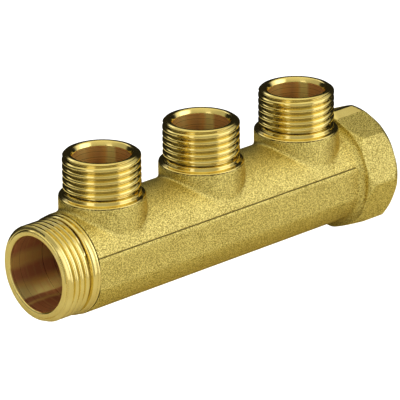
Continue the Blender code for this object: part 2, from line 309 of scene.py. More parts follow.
def surface_net(values, lines):
    """One vertex for each grid cell the surface passes through and one quad for each crossed edge."""
    cells = np.array(values.shape) - 1
    owners = []
    points = []
    quads = []
    for axis in range(3):
        index, point, outward = crossings(values, axis, lines)
        side_a = (axis + 1) % 3
        side_b = (axis + 2) % 3
        ring = []
        for back_a, back_b in ((0, 0), (1, 0), (1, 1), (0, 1)):
            cell = index.copy()
            cell[:, side_a] -= back_a
            cell[:, side_b] -= back_b
            owner = np.ravel_multi_index(tuple(cell.T), cells)
            ring.append(owner)
            owners.append(owner)
            points.append(point)
        quad = np.stack(ring, axis=1)
        quad[~outward] = quad[~outward][:, ::-1]
        quads.append(quad)
    owner = np.concatenate(owners)
    used, slot_of = np.unique(owner, return_inverse=True)
    total = np.bincount(slot_of)
    every = np.concatenate(points)
    corners = np.stack([np.bincount(slot_of, every[:, k]) / total for k in range(3)], axis=1)
    faces = np.searchsorted(used, np.concatenate(quads))
    return corners, faces


def settle(points, field, rounds=SETTLE_ROUNDS):
    """Move each point along the field's slope until it lies on the surface."""
    step = PROBE_STEP
    for _ in range(rounds):
        value = field(points)
        slope = np.zeros_like(points)
        for k in range(3):
            shift = np.zeros(3)
            shift[k] = step
            slope[:, k] = (field(points + shift) - field(points - shift)) / (2 * step)
        size = np.maximum((slope ** 2).sum(axis=1), LEAST_SLOPE ** 2)
        points = points - (value / size)[:, None] * slope
    return points


def forging_mesh():
    """The forging's outer skin as a closed mesh."""
    lines = forging_grid()
    grid = np.stack(np.meshgrid(*lines, indexing="ij"), axis=-1)
    corners, faces = surface_net(forging_field(grid), lines)
    corners = settle(corners, forging_field)
    mesh = bpy.data.meshes.new("forging")
    mesh.from_pydata(corners.tolist(), [], faces.tolist())
    mesh.update()
    return mesh


# ---------------------------------------------------------------- turned pieces

def arc_corner(before, here, after, reach, steps):
    """Points of a short arc that stands in for one corner of an outline."""
    a, b, c = Vector(before), Vector(here), Vector(after)
    reach = min(reach, (a - b).length * ARC_SHARE, (c - b).length * ARC_SHARE)
    start = b + (a - b).normalized() * reach
    end = b + (c - b).normalized() * reach
    points = []
    for step in range(steps):
        t = step / (steps - 1)
        point = start * (1 - t) ** 2 + b * 2 * t * (1 - t) + end * t ** 2
        points.append((point.x, point.y))
    return points


def rounded(points, reach, steps=ARC_STEPS):
    """The outline with each inner corner replaced by a short arc of points."""
    out = [points[0]]
    for before, here, after in zip(points, points[1:], points[2:]):
        out += arc_corner(before, here, after, reach, steps)
    out.append(points[-1])
    return out


def thread_form(crest):
    """Edges over one turn as (rise, radius), from the crest down through the next root."""
    depth = (PITCH - CREST_LAND - ROOT_LAND) / 2 / math.tan(FLANK_ANGLE)
    root = crest - depth
    corners = [
        (ROOT_LAND / 2 + PITCH / 2 - ROOT_LAND, root),
        (CREST_LAND / 2, crest),
        (-CREST_LAND / 2, crest),
        (ROOT_LAND / 2 - PITCH / 2, root),
        (-ROOT_LAND / 2 - PITCH / 2, root),
        (CREST_LAND / 2 - PITCH, crest),
    ]
    form = []
    for before, here, after in zip(corners, corners[1:], corners[2:]):
        form += arc_corner(before, here, after, CORNER_ROUNDING, CORNER_STEPS)
    return form


def thread_edges(turn, crest, top, bottom, limit):
    """The edges of a right-hand thread at one angle, from top to bottom, cut off at its two ends."""
    form = thread_form(crest)
    windings = math.ceil((top - bottom) / PITCH)
    heights = []
    radii = []
    for winding in range(windings - 1 + SPARE_WINDINGS, -1 - SPARE_WINDINGS, -1):
        for rise, radius in form:
            heights.append(bottom + (winding + turn) * PITCH + rise)
            radii.append(radius)
    heights = np.array(heights)
    kept = np.clip(heights, bottom, top)
    reach = np.interp(-kept, -heights, radii)
    return [(limit(height, radius), height) for height, radius in zip(kept, reach)]


def skin_columns(name, columns, closed, block=(0, 0)):
    """Join columns of (radius, height) points, spread evenly round +Z, into one closed solid.

    The block is the stretch of thread points. Where the last column meets the first, they join one turn on.
    """
    count = len(columns[0])
    steps = count if closed else count - 1
    corners = {}
    points = []
    faces = []

    def corner(column, place):
        radius, height = columns[column][place]
        angle = 2 * math.pi * column / len(columns)
        point = (radius * math.cos(angle), radius * math.sin(angle), height)
        key = tuple(round(value, SAME_PLACE_DIGITS) for value in point)
        if key not in corners:
            corners[key] = len(points)
            points.append(point)
        return corners[key]

    first, last = block
    for column in range(len(columns)):
        following = (column + 1) % len(columns)
        for place in range(steps):
            near = (place, (place + 1) % count)
            far = near
            if following == 0:
                far = [max(p - EDGES_PER_TURN, first) if first <= p < last else p for p in near]
            ring = [corner(column, near[0]), corner(column, near[1])]
            ring += [corner(following, far[1]), corner(following, far[0])]
            face = list(dict.fromkeys(ring))
            if len(face) > 2:
                faces.append(face)
    mesh = bpy.data.meshes.new(name)
    mesh.from_pydata(points, [], faces)
    tidy_mesh(mesh)
    return mesh


def tidy_mesh(mesh):
    """Turn the faces outwards and shade them smooth between sharp edges."""
    bm = bmesh.new()
    bm.from_mesh(mesh)
    bmesh.ops.recalc_face_normals(bm, faces=bm.faces)
    bm.to_mesh(mesh)
    bm.free()
    mesh.shade_smooth()
    mesh.set_sharp_from_angle(angle=SHARP_ANGLE)


def outline(points, base):
    """An outline given in millimetres as one in metres, raised to its base."""
    return [(radius * MM, height * MM + base) for radius, height in points]


def spigot(radius, shoulder, length):
    """Outline of a spigot with its seal groove, from the shoulder to the tip."""
    groove_floor = radius - SEAL_GROOVE_DEPTH
    return [
        (radius, shoulder),
        (radius, shoulder - SEAL_GROOVE_START),
        (groove_floor, shoulder - SEAL_GROOVE_START),
        (groove_floor, shoulder - SEAL_GROOVE_END),
        (radius, shoulder - SEAL_GROOVE_END),
        (radius, shoulder - length),
    ]


def thread_limit(size, lead_in, groove_top):
    """Function that holds a male thread inside its lead-in cone and fades it out at its groove."""
    face_radius, slope = lead_in
    groove_floor = size[1] + RUN_OUT_CLEARANCE

    def limit(height, radius):
        run_out = groove_floor + (height - groove_top) * RUN_OUT_SLOPE
        return min(radius, face_radius - height * slope, max(run_out, size[1]))

    return limit


def outlet_mesh():
    """Male outlet with its rim at height 0 and its open end up."""
    rim = OUTLET_RIM - AXIS_HEIGHT
    shoulder = BOSS_TOP - rim + SHOULDER_GAP
    groove_top = OUTLET_RUN_OUT[0] - rim
    tip = shoulder - OUTLET_SPIGOT_LENGTH
    inside = [(PORT_RADIUS, tip), (PORT_RADIUS, -OUTLET_LIP_DEPTH)] + outline(OUTLET_LIP, 0.0)
    above = rounded(inside, OUTLET_LIP_ROUNDING)
    groove_floor = HALF_INCH[1] + RUN_OUT_CLEARANCE
    collar = [(groove_floor, groove_top), (groove_floor, OUTLET_RUN_OUT[1] - rim)]
    collar += outline(OUTLET_COLLAR, -rim)
    collar += [(OUTLET_COLLAR_RADIUS, shoulder)]
    collar += spigot(OUTLET_SPIGOT_RADIUS, shoulder, OUTLET_SPIGOT_LENGTH)
    below = rounded(collar, COLLAR_ROUNDING)
    limit = thread_limit(HALF_INCH, OUTLET_LEAD_IN, groove_top)
    return threaded_solid("outlet_nipple", above, below, HALF_INCH[0], above[-1][1], groove_top, limit)


def inlet_mesh():
    """Male inlet with its face at height 0 and its open end up."""
    shoulder = INLET_FACE - BAR_START + SHOULDER_GAP
    groove_top = shoulder + INLET_RUN_OUT[0]
    tip = shoulder - INLET_SPIGOT_LENGTH
    inside = [(BORE_RADIUS, tip), (BORE_RADIUS, -INLET_LIP_DEPTH)] + outline(INLET_LIP, 0.0)
    above = rounded(inside, INLET_LIP_ROUNDING)
    groove_floor = THREE_QUARTER[1] + RUN_OUT_CLEARANCE
    collar = [(groove_floor, groove_top), (groove_floor, shoulder + INLET_RUN_OUT[1])]
    collar += outline(INLET_COLLAR, shoulder)
    collar += spigot(INLET_SPIGOT_RADIUS, shoulder, INLET_SPIGOT_LENGTH)
    below = rounded(collar, COLLAR_ROUNDING)
    limit = thread_limit(THREE_QUARTER, INLET_LEAD_IN, groove_top)
    return threaded_solid("inlet_nipple", above, below, THREE_QUARTER[0], above[-1][1], groove_top, limit)


def threaded_solid(name, above, below, crest, top, bottom, limit):
    """Turned solid with a thread of that crest radius between two plain outlines."""
    columns = []
    for index in range(SEGMENTS):
        columns.append(above + thread_edges(index / SEGMENTS, crest, top, bottom, limit) + below)
    block = (len(above), len(columns[0]) - len(below))
    return skin_columns(name, columns, above[0][0] > 0, block)


def seal_mesh(name, spigot_radius, thickness):
    """Round seal that lies in the groove of a spigot, a little clear of its floor."""
    outer = spigot_radius
    inner = spigot_radius - SEAL_GROOVE_DEPTH + SEAL_CLEARANCE
    section = []
    for step in range(SEAL_EDGES):
        angle = -2 * math.pi * step / SEAL_EDGES
        radius = (inner + outer) / 2 + (outer - inner) / 2 * math.cos(angle)
        section.append((radius, thickness / 2 * math.sin(angle)))
    return skin_columns(name, [section] * SEGMENTS, True)


# ---------------------------------------------------------------- bores

def bore_mesh():
    """Main bore with the inlet's seat and the female thread; the female face is at height 0."""
    floor = -SOCKET_DEPTH
    bottom = floor + SOCKET_RELIEF
    inlet_end = BAR_START - FEMALE_FACE
    seat_floor = inlet_end + INLET_SPIGOT_LENGTH + SEAT_CLEARANCE
    seat_radius = INLET_SPIGOT_RADIUS + SEAT_CLEARANCE
    slope = (SOCKET_MOUTH - THREE_QUARTER[1]) / (2 * SOCKET_MOUTH_DEPTH)

    def limit(height, radius):
        return max(radius, SOCKET_MOUTH + height * slope)

    above = [(0.0, TOOL_OVERRUN), (SOCKET_MOUTH, TOOL_OVERRUN), (SOCKET_MOUTH, 0.0)]
    below = [
        (THREE_QUARTER[0], bottom),
        (THREE_QUARTER[0], floor),
        (BORE_RADIUS, floor),
        (BORE_RADIUS, seat_floor),
        (seat_radius, seat_floor),
        (seat_radius, inlet_end - TOOL_OVERRUN),
        (0.0, inlet_end - TOOL_OVERRUN),
    ]
    return threaded_solid("bore_tool", above, below, THREE_QUARTER[0], -SOCKET_SETBACK, bottom, limit)


def port_mesh():
    """Upright port with the seat of an outlet's spigot at its top."""
    seat_floor = BOSS_TOP - OUTLET_SPIGOT_LENGTH - SEAT_CLEARANCE
    seat_radius = OUTLET_SPIGOT_RADIUS + SEAT_CLEARANCE
    column = [
        (0.0, BOSS_TOP + TOOL_OVERRUN),
        (seat_radius, BOSS_TOP + TOOL_OVERRUN),
        (seat_radius, seat_floor),
        (PORT_RADIUS, seat_floor),
        (PORT_RADIUS, 0.0),
        (0.0, 0.0),
    ]
    return skin_columns("port_tool", [column] * SEGMENTS, False)


# ---------------------------------------------------------------- shader nodes

NOISE_SPAN = (0.3, 0.7)  # levels that most of a noise lies between
MARK_DETAIL = 2.0
MARK_ROUGHNESS = 0.6
ACROSS_SHARE = 0.3  # density of marks on faces across the axis, as a share of that along it
BAND_WANDER_SCALE = 160.0
BAND_WANDER = 0.03  # radians
SKY_SAMPLES = 8
QUARTER_TURN = 0.25


class Nodes:
    """Small helper that adds shader nodes and joins them."""

    def __init__(self, tree):
        self.tree = tree

    def add(self, kind, **settings):
        node = self.tree.nodes.new(kind)
        for name, value in settings.items():
            setattr(node, name, value)
        return node

    def link(self, source, target):
        self.tree.links.new(source, target)

    def feed(self, socket, value):
        """Give a socket a constant, or join it to another node's output."""
        if isinstance(value, bpy.types.NodeSocket):
            self.link(value, socket)
        else:
            socket.default_value = value

    def math(self, operation, a, b=0.0):
        node = self.add("ShaderNodeMath", operation=operation)
        self.feed(node.inputs[0], a)
        self.feed(node.inputs[1], b)
        return node.outputs[0]

    def remap(self, value, low, high, to_low, to_high, smooth=False):
        """A span of values stretched over another one and held at its ends."""
        kind = 'SMOOTHSTEP' if smooth else 'LINEAR'
        node = self.add("ShaderNodeMapRange", interpolation_type=kind)
        self.feed(node.inputs["Value"], value)
        node.inputs["From Min"].default_value = low
        node.inputs["From Max"].default_value = high
        node.inputs["To Min"].default_value = to_low
        node.inputs["To Max"].default_value = to_high
        return node.outputs["Result"]

    def mix(self, factor, a, b):
        """Blend of two colours, which are sockets 6 and 7 of this node and output 2."""
        node = self.add("ShaderNodeMix", data_type='RGBA')
        self.feed(node.inputs[0], factor)
        self.feed(node.inputs[6], a)
        self.feed(node.inputs[7], b)
        return node.outputs[2]

    def dot(self, vector, constant):
        node = self.add("ShaderNodeVectorMath", operation='DOT_PRODUCT')
        self.link(vector, node.inputs[0])
        node.inputs[1].default_value = constant
        return node.outputs["Value"]

    def split(self, vector):
        """The three outputs of a vector, by the names X, Y and Z."""
        node = self.add("ShaderNodeSeparateXYZ")
        self.link(vector, node.inputs[0])
        return node.outputs

    def place(self):
        """Coordinates in the piece's own frame, in metres."""
        return self.add("ShaderNodeTexCoord").outputs["Object"]

    def noise(self, vector, scale, detail=2.0, roughness=0.5):
        node = self.add("ShaderNodeTexNoise")
        self.link(vector, node.inputs["Vector"])
        node.inputs["Scale"].default_value = scale
        node.inputs["Detail"].default_value = detail
        node.inputs["Roughness"].default_value = roughness
        return node.outputs["Fac"]

    def tool_marks(self, axis, density):
        """Noise whose marks run round one axis, on faces along it and across it alike."""
        parts = self.split(self.place())
        sides = [name for name in "XYZ" if name != axis]
        squares = [self.math('POWER', parts[name], 2.0) for name in sides]
        reach = self.math('SQRT', self.math('ADD', squares[0], squares[1]))
        join = self.add("ShaderNodeCombineXYZ")
        self.link(self.math('MULTIPLY', parts[axis], density), join.inputs[0])
        self.link(self.math('MULTIPLY', reach, density * ACROSS_SHARE), join.inputs[1])
        return self.noise(join.outputs[0], 1.0, MARK_DETAIL, MARK_ROUGHNESS)

    def bearing(self, up, side):
        """Angle round a bore as 0 to 1, from two of the piece's own axes; 0.5 is the side, 0.75 is up."""
        place = self.place()
        parts = self.split(place)
        angle = self.math('ARCTAN2', parts[up], parts[side])
        wander = self.remap(self.noise(place, BAND_WANDER_SCALE), *NOISE_SPAN, -BAND_WANDER, BAND_WANDER)
        return self.remap(self.math('ADD', angle, wander), -math.pi, math.pi, 0.0, 1.0)

    def ramp(self, value, stops):
        """Colour that runs through stops of (position, colour)."""
        node = self.add("ShaderNodeValToRGB")
        self.link(value, node.inputs[0])
        elements = node.color_ramp.elements
        elements.remove(elements[1])
        elements[0].position, elements[0].color = stops[0]
        for place, colour in stops[1:]:
            elements.new(place).color = colour
        return node.outputs[0]

    def open_sky(self, distance):
        """1 on open faces, less in grooves and corners that are about this deep."""
        node = self.add("ShaderNodeAmbientOcclusion", samples=SKY_SAMPLES)
        node.inputs["Distance"].default_value = distance
        return node.outputs["AO"]

    def pointiness(self):
        """About 0.5 on smooth faces, more on edges that stick out."""
        return self.add("ShaderNodeNewGeometry").outputs["Pointiness"]

    def grained(self, shader, axis, amount):
        """Stretch the gloss across marks that run round one axis."""
        tangent = self.add("ShaderNodeTangent", direction_type='RADIAL', axis=axis)
        self.link(tangent.outputs[0], shader.inputs["Tangent"])
        shader.inputs["Anisotropic"].default_value = amount
        shader.inputs["Anisotropic Rotation"].default_value = QUARTER_TURN

    def bump(self, height, distance, strength, normal=None):
        node = self.add("ShaderNodeBump")
        self.link(height, node.inputs["Height"])
        node.inputs["Distance"].default_value = distance
        node.inputs["Strength"].default_value = strength
        if normal is not None:
            self.link(normal, node.inputs["Normal"])
        return node.outputs["Normal"]


def start_material(name, kind="ShaderNodeBsdfPrincipled"):
    """New material with one shader, and a helper for its other nodes."""
    material = bpy.data.materials.new(name)
    material.use_nodes = True
    tree = material.node_tree
    tree.nodes.clear()
    nodes = Nodes(tree)
    shader = nodes.add(kind)
    output = nodes.add("ShaderNodeOutputMaterial")
    nodes.link(shader.outputs[0], output.inputs[0])
    return material, nodes, shader


# ---------------------------------------------------------------- blasted brass
# Scales of noise are per metre. A span holds the levels of noise, pointiness or open sky between
# which an effect comes or goes, and a share says how strong it gets.

BLASTED_DARK = (0.74, 0.60, 0.20, 1.0)
BLASTED_LIGHT = (0.88, 0.74, 0.27, 1.0)
BLASTED_PIT = (0.32, 0.25, 0.06, 1.0)
BLASTED_GLINT = (1.0, 0.92, 0.43, 1.0)
# colour of the painted shade in crevices and corners
BLASTED_CREVICE_SHADE = (0.12, 0.09, 0.03, 1.0)
BLASTED_TINT = (0.84, 0.68, 0.30, 1.0)
BLASTED_ROUGHNESS = (0.32, 0.48)
GRAIN_SCALE = 3700.0
GRAIN_ROUGHNESS = 0.7
GRAIN_SPAN = (0.45, 0.52)
GRAIN_BUMP = 0.14 * MM
POWDER_SCALE = 5200.0
POWDER_DETAIL = 1.0
POWDER_BUMP = 0.05 * MM
POWDER_STRENGTH = 0.7
CLOUD_SCALE = 140.0
CLOUD_DETAIL = 3.0
CLOUD_ROUGHNESS = 0.55
CLOUD_SPAN = (0.35, 0.65)
CLOUD_SHARE = 0.25
WEAR_SPAN = (0.52, 0.60)
WEAR_SHARE = 0.35
# Painted shade in crevices: how deep a crevice is, where the shade starts and ends, and how dark it gets
CREVICE_SHADE_DEPTH = 0.9 * MM
CREVICE_SHADE_SPAN = (0.35, 0.85)
CREVICE_SHADE_SHARE = 0.9


def blasted_brass():
    """Shot-blasted forging: pale olive gold, satin, with a fine sparkling grain and painted shade in its
    crevices and corners.
    """
    material, nodes, shader = start_material("blasted_brass")
    place = nodes.place()
    grain = nodes.noise(place, GRAIN_SCALE, roughness=GRAIN_ROUGHNESS)
    powder = nodes.noise(place, POWDER_SCALE, POWDER_DETAIL)
    cloud = nodes.noise(place, CLOUD_SCALE, CLOUD_DETAIL, CLOUD_ROUGHNESS)
    tone = nodes.mix(nodes.remap(grain, *GRAIN_SPAN, 0.0, 1.0), BLASTED_PIT, BLASTED_GLINT)
    shade = nodes.mix(nodes.remap(cloud, *CLOUD_SPAN, 0.0, 1.0), BLASTED_DARK, BLASTED_LIGHT)
    tone = nodes.mix(CLOUD_SHARE, tone, shade)
    worn = nodes.remap(nodes.pointiness(), *WEAR_SPAN, 0.0, WEAR_SHARE)
    tone = nodes.mix(worn, tone, BLASTED_GLINT)
    # painted shade: the colour turns dark in grooves and corners that are closed in
    painted_shade = nodes.remap(nodes.open_sky(CREVICE_SHADE_DEPTH), *CREVICE_SHADE_SPAN, CREVICE_SHADE_SHARE, 0.0)
    tone = nodes.mix(painted_shade, tone, BLASTED_CREVICE_SHADE)
    shader.inputs["Metallic"].default_value = 1.0
    shader.inputs["Specular Tint"].default_value = BLASTED_TINT
    nodes.link(tone, shader.inputs["Base Color"])
    nodes.link(nodes.remap(powder, *NOISE_SPAN, *BLASTED_ROUGHNESS), shader.inputs["Roughness"])
    coarse = nodes.bump(grain, GRAIN_BUMP, 1.0)
    nodes.link(nodes.bump(powder, POWDER_BUMP, POWDER_STRENGTH, coarse), shader.inputs["Normal"])
    return material


# ---------------------------------------------------------------- turned brass

TURNED_DEEP = (0.84, 0.71, 0.31, 1.0)
TURNED_PALE = (0.90, 0.79, 0.38, 1.0)
TURNED_EDGE = (0.99, 0.92, 0.62, 1.0)
# colour of the painted shade in thread roots and grooves
TURNED_GROOVE_SHADE = (0.14, 0.11, 0.045, 1.0)
TURNED_TINT = (0.95, 0.88, 0.66, 1.0)
TURNED_ROUGHNESS = (0.10, 0.20)
TURNED_STRETCH = 0.5
TURNED_MARKS = 9000.0
TURNED_BUMP = (0.010 * MM, 0.35)  # depth and strength
TURNED_WANDER_SCALE = 220.0
TURNED_WEAR_SPAN = (0.53, 0.62)
TURNED_WEAR_SHARE = 0.4
# Painted shade in thread roots and grooves: how deep they are, where the shade starts and ends, how dark it
# gets on outlets and inlet
GROOVE_SHADE_DEPTH = 0.8 * MM
GROOVE_SHADE_SPAN = (0.25, 0.66)
OUTLET_GROOVE_SHADE = 0.95
INLET_GROOVE_SHADE = 0.45


def turned_brass(name, axis, groove_shade):
    """Bright turned brass with fine tool marks round an axis and painted shade in the thread roots."""
    material, nodes, shader = start_material(name)
    marks = nodes.tool_marks(axis, TURNED_MARKS)
    wander = nodes.noise(nodes.place(), TURNED_WANDER_SCALE)
    tone = nodes.mix(nodes.remap(wander, *NOISE_SPAN, 0.0, 1.0), TURNED_DEEP, TURNED_PALE)
    worn = nodes.remap(nodes.pointiness(), *TURNED_WEAR_SPAN, 0.0, TURNED_WEAR_SHARE)
    tone = nodes.mix(worn, tone, TURNED_EDGE)
    # painted shade: roots and grooves darkened by how closed in they are
    painted_shade = nodes.remap(nodes.open_sky(GROOVE_SHADE_DEPTH), *GROOVE_SHADE_SPAN, groove_shade, 0.0)
    tone = nodes.mix(painted_shade, tone, TURNED_GROOVE_SHADE)
    shader.inputs["Metallic"].default_value = 1.0
    shader.inputs["Specular Tint"].default_value = TURNED_TINT
    nodes.link(tone, shader.inputs["Base Color"])
    nodes.link(nodes.remap(marks, *NOISE_SPAN, *TURNED_ROUGHNESS), shader.inputs["Roughness"])
    nodes.grained(shader, axis, TURNED_STRETCH)
    nodes.link(nodes.bump(marks, *TURNED_BUMP), shader.inputs["Normal"])
    return material


# ---------------------------------------------------------------- bored brass

BORE_METALLIC = 0.6  # under 1, so that the dark inside of a bore still shows its own colour
BORED_SHADE = (0.62, 0.34, 0.20, 1.0)
BORED_BROWN = (0.80, 0.45, 0.25, 1.0)
BORED_GOLD = (1.0, 0.82, 0.36, 1.0)
BORED_PALE = (1.0, 0.98, 0.52, 1.0)
BORED_SCORE = (0.95, 0.72, 0.38, 1.0)
# Painted reflections and shade in bands round the bore, lighter and darker stripes that run along it:
# bearing, colour
BORED_REFLECTION_BANDS = [
    (0.300, BORED_SHADE),
    (0.311, BORED_GOLD),
    (0.322, BORED_SHADE),
    (0.336, BORED_SHADE),
    (0.341, BORED_PALE),
    (0.378, BORED_PALE),
    (0.400, BORED_GOLD),
    (0.425, BORED_BROWN),
    (0.460, BORED_BROWN),
    (0.482, BORED_GOLD),
    (0.518, BORED_GOLD),
    (0.550, BORED_BROWN),
    (0.850, BORED_SHADE),
]
BORED_ROUGHNESS = (0.24, 0.38)
BORED_MARKS = 1500.0
BORED_BUMP = (0.02 * MM, 0.5)
BORED_SCORE_SPAN = (0.52, 0.62)
BORED_SCORE_SHARE = 0.35
# share of painted shade that darkens the long bore inside the body
BODY_BORE_SHADE = 0.1


def bored_brass(name, axis, up, deep_shade):
    """Bored surfaces: browner than the turned ones, with painted reflections and shade in bands round the
    bore, and ring marks.
    """
    material, nodes, shader = start_material(name)
    marks = nodes.tool_marks(axis, BORED_MARKS)
    # painted reflections: the colour follows the bearing round the bore
    tone = nodes.ramp(nodes.bearing(up, "Y"), BORED_REFLECTION_BANDS)
    # painted shade: the whole bore darkened towards its shade colour by that share
    tone = nodes.mix(deep_shade, tone, BORED_SHADE)
    scored = nodes.remap(marks, *BORED_SCORE_SPAN, 0.0, BORED_SCORE_SHARE)
    tone = nodes.mix(scored, tone, BORED_SCORE)
    shader.inputs["Metallic"].default_value = BORE_METALLIC
    nodes.link(tone, shader.inputs["Base Color"])
    nodes.link(nodes.remap(marks, *NOISE_SPAN, *BORED_ROUGHNESS), shader.inputs["Roughness"])
    nodes.link(nodes.bump(marks, *BORED_BUMP), shader.inputs["Normal"])
    return material


PORT_DUSK = (0.58, 0.36, 0.20, 1.0)
PORT_SHADE = (0.74, 0.49, 0.21, 1.0)
PORT_DEEP = (0.94, 0.65, 0.24, 1.0)
PORT_PALE = (1.0, 0.82, 0.35, 1.0)
PORT_GOLD = (1.0, 0.98, 0.46, 1.0)
PORT_SCORE = (1.0, 0.84, 0.40, 1.0)
# Painted reflections and shade in bands round the port, lighter and darker stripes that run down it:
# bearing, colour
PORT_REFLECTION_BANDS = [
    (0.420, PORT_SHADE),
    (0.510, PORT_PALE),
    (0.545, PORT_DEEP),
    (0.600, PORT_SHADE),
    (0.630, PORT_DEEP),
    (0.652, PORT_GOLD),
    (0.688, PORT_GOLD),
    (0.704, PORT_SHADE),
    (0.800, PORT_DUSK),
]
PORT_ROUGHNESS = (0.24, 0.36)
PORT_MARKS = 5000.0
PORT_BUMP = (0.015 * MM, 0.4)
PORT_SCORE_SPAN = (0.50, 0.62)
PORT_SCORE_SHARE = 0.22


def port_brass():
    """Drilled inside of an outlet: a duller brown brass with painted reflections, paler bands that run down
    the bore, and painted shade between them.
    """
    material, nodes, shader = start_material("port_brass")
    marks = nodes.tool_marks("Z", PORT_MARKS)
    # painted reflections: the colour follows the bearing round the port
    tone = nodes.ramp(nodes.bearing("X", "Y"), PORT_REFLECTION_BANDS)
    scored = nodes.remap(marks, *PORT_SCORE_SPAN, 0.0, PORT_SCORE_SHARE)
    tone = nodes.mix(scored, tone, PORT_SCORE)
    shader.inputs["Metallic"].default_value = BORE_METALLIC
    nodes.link(tone, shader.inputs["Base Color"])
    nodes.link(nodes.remap(marks, *NOISE_SPAN, *PORT_ROUGHNESS), shader.inputs["Roughness"])
    nodes.link(nodes.bump(marks, *PORT_BUMP), shader.inputs["Normal"])
    return material


# ---------------------------------------------------------------- rubber

RUBBER_DARK = (0.012, 0.012, 0.013, 1.0)
RUBBER_LIGHT = (0.030, 0.030, 0.031, 1.0)
RUBBER_ROUGHNESS = (0.5, 0.7)
RUBBER_SCALE = 4000.0
RUBBER_BUMP = (0.01 * MM, 0.3)


def seal_rubber():
    """Nearly black rubber with a fine speckle."""
    material, nodes, shader = start_material("seal_rubber")
    speckle = nodes.noise(nodes.place(), RUBBER_SCALE)
    nodes.link(nodes.mix(speckle, RUBBER_DARK, RUBBER_LIGHT), shader.inputs["Base Color"])
    nodes.link(nodes.remap(speckle, *NOISE_SPAN, *RUBBER_ROUGHNESS), shader.inputs["Roughness"])
    nodes.link(nodes.bump(speckle, *RUBBER_BUMP), shader.inputs["Normal"])
    return material


# ---------------------------------------------------------------- pieces

BLASTED, TURNED, BORED, FACED = range(4)  # the body's materials, in their order
INSIDE_DEPTH = 0.25 * MM  # faces further than this under the forging's skin are bored
BOSS_TOP_TOLERANCE = 0.01 * MM
SOCKET_TOLERANCE = 0.1 * MM
END_FACE_TOLERANCE = 0.02 * MM
BORE_TOLERANCE = 0.01 * MM


def add_object(name, data):
    made = bpy.data.objects.new(name, data)
    bpy.context.scene.collection.objects.link(made)
    return made


def add_piece(name, mesh, nodes, materials):
    """Object that stands for some CAD nodes and its materials."""
    piece = add_object(name, mesh)
    for material in materials:
        piece.data.materials.append(material)
    for node in nodes:
        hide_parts(node)
    return piece


def lie_along(piece, place, heading):
    """Turn a piece drawn along +Z to point along a heading from a place on the main axis."""
    turn = Vector((0, 0, 1)).rotation_difference(Vector(heading))
    piece.matrix_world = Matrix.Translation(place) @ turn.to_matrix().to_4x4()


def cut(piece, tool):
    """Take a closed tool out of a closed piece; this solver skips a tool that isn't closed."""
    step = piece.modifiers.new("cut", 'BOOLEAN')
    step.operation = 'DIFFERENCE'
    step.solver = 'MANIFOLD'
    step.object = tool


def add_tool(name, mesh):
    """Object that is only used for cutting, and removed afterwards."""
    tool = add_object(name, mesh)
    tool.hide_render = True
    return tool


def finish_faces(mesh):
    """Give each face of the body its finish: blasted outside, bored inside, turned where it is faced."""
    count = len(mesh.polygons)
    centre = np.zeros(count * 3)
    mesh.polygons.foreach_get("center", centre)
    centre = centre.reshape(-1, 3)
    depth = forging_field(centre)
    inside = depth < -INSIDE_DEPTH
    in_socket = centre[:, 0] > FEMALE_FACE - SOCKET_DEPTH - SOCKET_TOLERANCE
    in_socket &= np.hypot(centre[:, 1], centre[:, 2]) > BORE_RADIUS + SOCKET_TOLERANCE
    index = np.full(count, BLASTED)
    index[centre[:, 2] > BOSS_TOP - BOSS_TOP_TOLERANCE] = TURNED
    index[inside] = BORED
    index[inside & in_socket] = FACED
    index[centre[:, 0] > FEMALE_FACE - END_FACE_TOLERANCE] = FACED
    mesh.polygons.foreach_set("material_index", index)
    mesh.update()


def build_body(finishes):
    """The forging with its main bore and its three ports cut, finished face by face."""
    body = add_tool("forging", forging_mesh())
    bore = add_tool("bore_tool", bore_mesh())
    lie_along(bore, Vector((FEMALE_FACE, 0, 0)), (1, 0, 0))
    tools = [bore]
    shape = port_mesh()
    for number, place in enumerate(OUTLET_PLACES):
        port = add_tool("port_tool_%d" % (number + 1), shape)
        port.location = (place, 0, 0)
        tools.append(port)
    for tool in tools:
        cut(body, tool)
    bpy.context.view_layer.update()
    seen = body.evaluated_get(bpy.context.evaluated_depsgraph_get())
    mesh = bpy.data.meshes.new_from_object(seen)
    for tool in tools + [body]:
        bpy.data.objects.remove(tool)
    mesh.name = "body"
    mesh.materials.clear()
    finish_faces(mesh)
    mesh.shade_smooth()
    mesh.set_sharp_from_angle(angle=SHARP_ANGLE)
    piece = add_piece("body", mesh, ["manifold_body"], finishes)
    piece.location = (0, 0, AXIS_HEIGHT)
    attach(piece, "root")


def finish_bore(mesh, radius):
    """Give the faces of a turned piece's bore its second material."""
    for face in mesh.polygons:
        if math.hypot(face.center.x, face.center.y) < radius + BORE_TOLERANCE:
            face.material_index = 1


def build_outlets(brass, port):
    """Three equal outlet nipples."""
    shape = outlet_mesh()
    finish_bore(shape, PORT_RADIUS)
    for number, (name, place) in enumerate(zip(OUTLET_NAMES, OUTLET_PLACES)):
        title = "outlet_%d" % (number + 1)
        piece = add_piece(title, shape.copy(), [name], [brass, port])
        piece.location = (place, 0, OUTLET_RIM)
        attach(piece, "root")


def build_inlet(brass, bored):
    """The inlet nipple, which points away from the octagon."""
    shape = inlet_mesh()
    finish_bore(shape, BORE_RADIUS)
    piece = add_piece("inlet", shape, ["inlet_nipple"], [brass, bored])
    lie_along(piece, Vector((INLET_FACE, 0, AXIS_HEIGHT)), (-1, 0, 0))
    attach(piece, "root")


